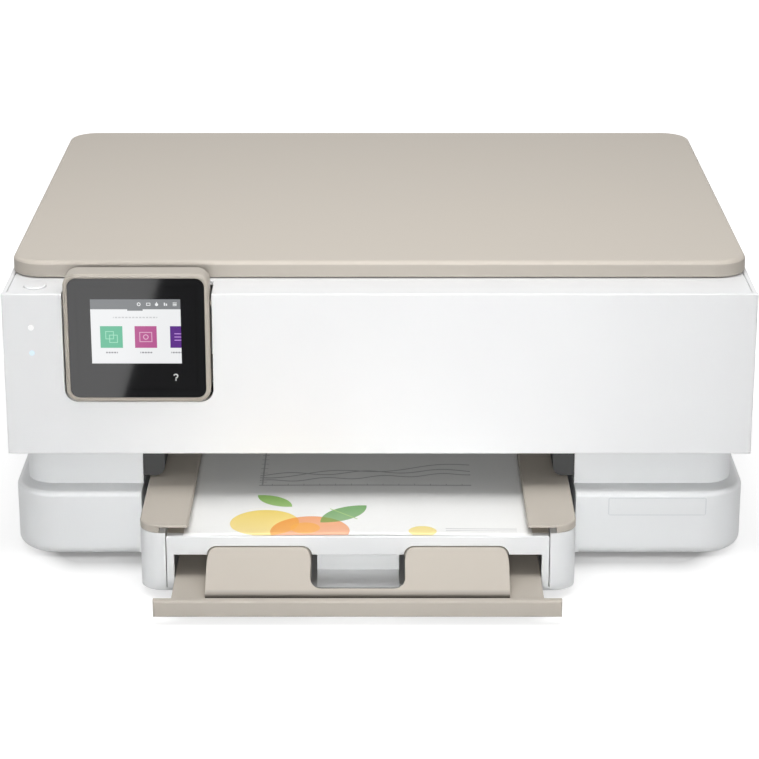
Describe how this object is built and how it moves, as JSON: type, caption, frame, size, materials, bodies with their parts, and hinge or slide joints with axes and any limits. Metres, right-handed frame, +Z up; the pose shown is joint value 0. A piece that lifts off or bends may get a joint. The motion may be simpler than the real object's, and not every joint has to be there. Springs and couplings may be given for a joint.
{
  "type": "inkjet printer",
  "caption": "All-in-one inkjet printer with a flat scanner lid, a tilting touch panel, a scanner unit that lifts off the print engine, and a paper tray with a pull-out extender.",
  "frame": {"origin": "centre of the overall box on the surface that the feet stand on, tray and extender out as pictured", "axes": "+Z up, -Y towards the user (the front panel and the tray face -Y), +X to the user's right"},
  "size_m": [0.46, 0.4844, 0.1872],
  "materials": {
    "white_shell": "fine satin moulding",
    "taupe_trim": "fine matt texture",
    "dark_plastic": "matt moulding",
    "grey_plastic": "smooth moulding",
    "rubber": "matt",
    "steel": "ground",
    "paper": "coated paper",
    "lid_pad": "soft white film",
    "clear_glass": "polished",
    "black_glass": "polished",
    "light_guide": "diffuse",
    "circuit_board": "solder mask",
    "clear_film": "clear film"
  },
  "bodies": {
    "base": {"base_tub": "white_shell", "upper_case": "white_shell", "access_hinge_pins": "steel", "rubber_feet": "rubber", "bay_guides": "dark_plastic", "engine_frame": "dark_plastic", "platen": "dark_plastic", "pinch_frame": "dark_plastic", "star_bridge": "dark_plastic", "carriage_rod": "steel", "front_rail": "steel", "drive_belt": "rubber", "carriage_motor": "steel", "encoder_strip": "clear_film", "feed_motor": "steel", "service_station": "dark_plastic", "main_board": "circuit_board", "power_supply": "dark_plastic", "power_inlet": "dark_plastic", "usb_port": "steel"},
    "tray": {"tray_pan": "white_shell", "tray_frame": "white_shell", "output_deck": "taupe_trim", "paper_sheet": "paper"},
    "extender": {"extender": "taupe_trim"},
    "width_guide_left": {"width_guide_left": "grey_plastic"},
    "width_guide_right": {"width_guide_right": "grey_plastic"},
    "guide_pinion": {"guide_pinion": "grey_plastic"},
    "length_guide": {"length_guide": "grey_plastic"},
    "feed_roller": {"feed_roller": "rubber", "feed_gear": "grey_plastic"},
    "idler_gear": {"idler_gear": "grey_plastic"},
    "output_roller": {"output_roller": "rubber", "output_gear": "grey_plastic"},
    "motor_pinion": {"motor_shaft": "steel", "motor_pinion": "grey_plastic"},
    "pinch_rollers": {"pinch_rollers": "grey_plastic"},
    "star_wheels": {"star_wheels": "grey_plastic"},
    "pick_arm": {"pick_arm": "dark_plastic"},
    "pick_roller": {"pick_roller": "rubber"},
    "motor_pulley": {"motor_pulley": "grey_plastic"},
    "idler_pulley": {"idler_pulley": "grey_plastic"},
    "carriage": {"carriage": "dark_plastic", "black_cartridge": "dark_plastic", "colour_cartridge": "dark_plastic"},
    "scanner_unit": {"front_fascia": "white_shell", "status_lights": "light_guide", "scanner_housing": "white_shell", "scanner_deck": "white_shell", "scanner_glass": "clear_glass", "scan_rod": "steel", "lid_hinge_pins": "steel"},
    "scan_bar": {"scan_bar": "dark_plastic"},
    "power_button": {"power_button": "white_shell"},
    "lid": {"lid_shell": "taupe_trim", "lid_pad": "lid_pad"},
    "touch_panel": {"touch_bezel": "taupe_trim", "touch_glass": "black_glass"}
  },
  "joints": [
    {"name": "tray_slide", "type": "slide", "parent": "base", "child": "tray", "axis": [0, -1, 0], "range_m": [-0.061, 0.2]},
    {"name": "extender_slide", "type": "slide", "parent": "tray", "child": "extender", "axis": [0, -1, 0], "range_m": [-0.035, 0.027]},
    {"name": "width_guide_slide", "type": "slide", "parent": "tray", "child": "width_guide_left", "axis": [1, 0, 0], "range_m": [0, 0.057]},
    {"name": "opposite_guide_slide", "type": "slide", "parent": "tray", "child": "width_guide_right", "axis": [-1, 0, 0], "range_m": [0, 0.057]},
    {"name": "guide_pinion_turn", "type": "hinge", "parent": "tray", "child": "guide_pinion", "pos_m": [-0.013, -0.00075, 0.0086], "axis": [0, 0, 1], "range_deg": [0, 364]},
    {"name": "length_guide_slide", "type": "slide", "parent": "tray", "child": "length_guide", "axis": [0, 1, 0], "range_m": [0, 0.1]},
    {"name": "feed_roller_spin", "type": "hinge", "parent": "base", "child": "feed_roller", "pos_m": [0, 0.08125, 0.058], "axis": [1, 0, 0], "continuous": true},
    {"name": "idler_gear_spin", "type": "hinge", "parent": "base", "child": "idler_gear", "pos_m": [-0.1955, 0.04075, 0.058], "axis": [1, 0, 0], "continuous": true},
    {"name": "output_roller_spin", "type": "hinge", "parent": "base", "child": "output_roller", "pos_m": [0, 0.00025, 0.058], "axis": [1, 0, 0], "continuous": true},
    {"name": "motor_pinion_spin", "type": "hinge", "parent": "base", "child": "motor_pinion", "pos_m": [-0.1955, 0.11575, 0.058], "axis": [1, 0, 0], "continuous": true},
    {"name": "pinch_rollers_spin", "type": "hinge", "parent": "base", "child": "pinch_rollers", "pos_m": [-0.013, 0.08125, 0.0697], "axis": [1, 0, 0], "continuous": true},
    {"name": "star_wheels_spin", "type": "hinge", "parent": "base", "child": "star_wheels", "pos_m": [-0.013, 0.00025, 0.0693], "axis": [1, 0, 0], "continuous": true},
    {"name": "pick_arm_swing", "type": "hinge", "parent": "base", "child": "pick_arm", "pos_m": [-0.013, 0.05525, 0.048], "axis": [1, 0, 0], "range_deg": [-5, 3]},
    {"name": "pick_roller_spin", "type": "hinge", "parent": "pick_arm", "child": "pick_roller", "pos_m": [-0.013, 0.09725, 0.038], "axis": [1, 0, 0], "continuous": true},
    {"name": "carriage_slide", "type": "slide", "parent": "base", "child": "carriage", "axis": [-1, 0, 0], "range_m": [0, 0.3]},
    {"name": "motor_pulley_spin", "type": "hinge", "parent": "base", "child": "motor_pulley", "pos_m": [0.165, 0.11725, 0.11], "axis": [0, 1, 0], "continuous": true},
    {"name": "idler_pulley_spin", "type": "hinge", "parent": "base", "child": "idler_pulley", "pos_m": [-0.165, 0.11725, 0.11], "axis": [0, 1, 0], "continuous": true},
    {"name": "scanner_unit_lift", "type": "hinge", "parent": "base", "child": "scanner_unit", "pos_m": [0, 0.22525, 0.076], "axis": [-1, 0, 0], "range_deg": [0, 40]},
    {"name": "scan_bar_slide", "type": "slide", "parent": "scanner_unit", "child": "scan_bar", "axis": [1, 0, 0], "range_m": [0, 0.28]},
    {"name": "power_button_press", "type": "slide", "parent": "scanner_unit", "child": "power_button", "axis": [0, 0, -1], "range_m": [0, 0.001], "stiffness_N_per_m": 400},
    {"name": "lid_hinge", "type": "hinge", "parent": "scanner_unit", "child": "lid", "pos_m": [0, 0.23885, 0.1772], "axis": [-1, 0, 0], "range_deg": [0, 88]},
    {"name": "touch_panel_tilt", "type": "hinge", "parent": "scanner_unit", "child": "touch_panel", "pos_m": [-0.1476, -0.13475, 0.166], "axis": [-1, 0, 0], "range_deg": [0, 35]}
  ],
  "couplings": [
    {"joint": "opposite_guide_slide", "follows": "width_guide_slide", "ratio": 1},
    {"joint": "guide_pinion_turn", "follows": "width_guide_slide", "rad_per_m": 111.11},
    {"joint": "idler_gear_spin", "follows": "feed_roller_spin", "ratio": -1.4545},
    {"joint": "output_roller_spin", "follows": "feed_roller_spin", "ratio": 1},
    {"joint": "motor_pinion_spin", "follows": "feed_roller_spin", "ratio": -2.2857},
    {"joint": "pinch_rollers_spin", "follows": "feed_roller_spin", "ratio": -2.3529},
    {"joint": "star_wheels_spin", "follows": "feed_roller_spin", "ratio": -1.75},
    {"joint": "motor_pulley_spin", "follows": "carriage_slide", "rad_per_m": 136.99},
    {"joint": "idler_pulley_spin", "follows": "carriage_slide", "rad_per_m": 136.99}
  ]
}
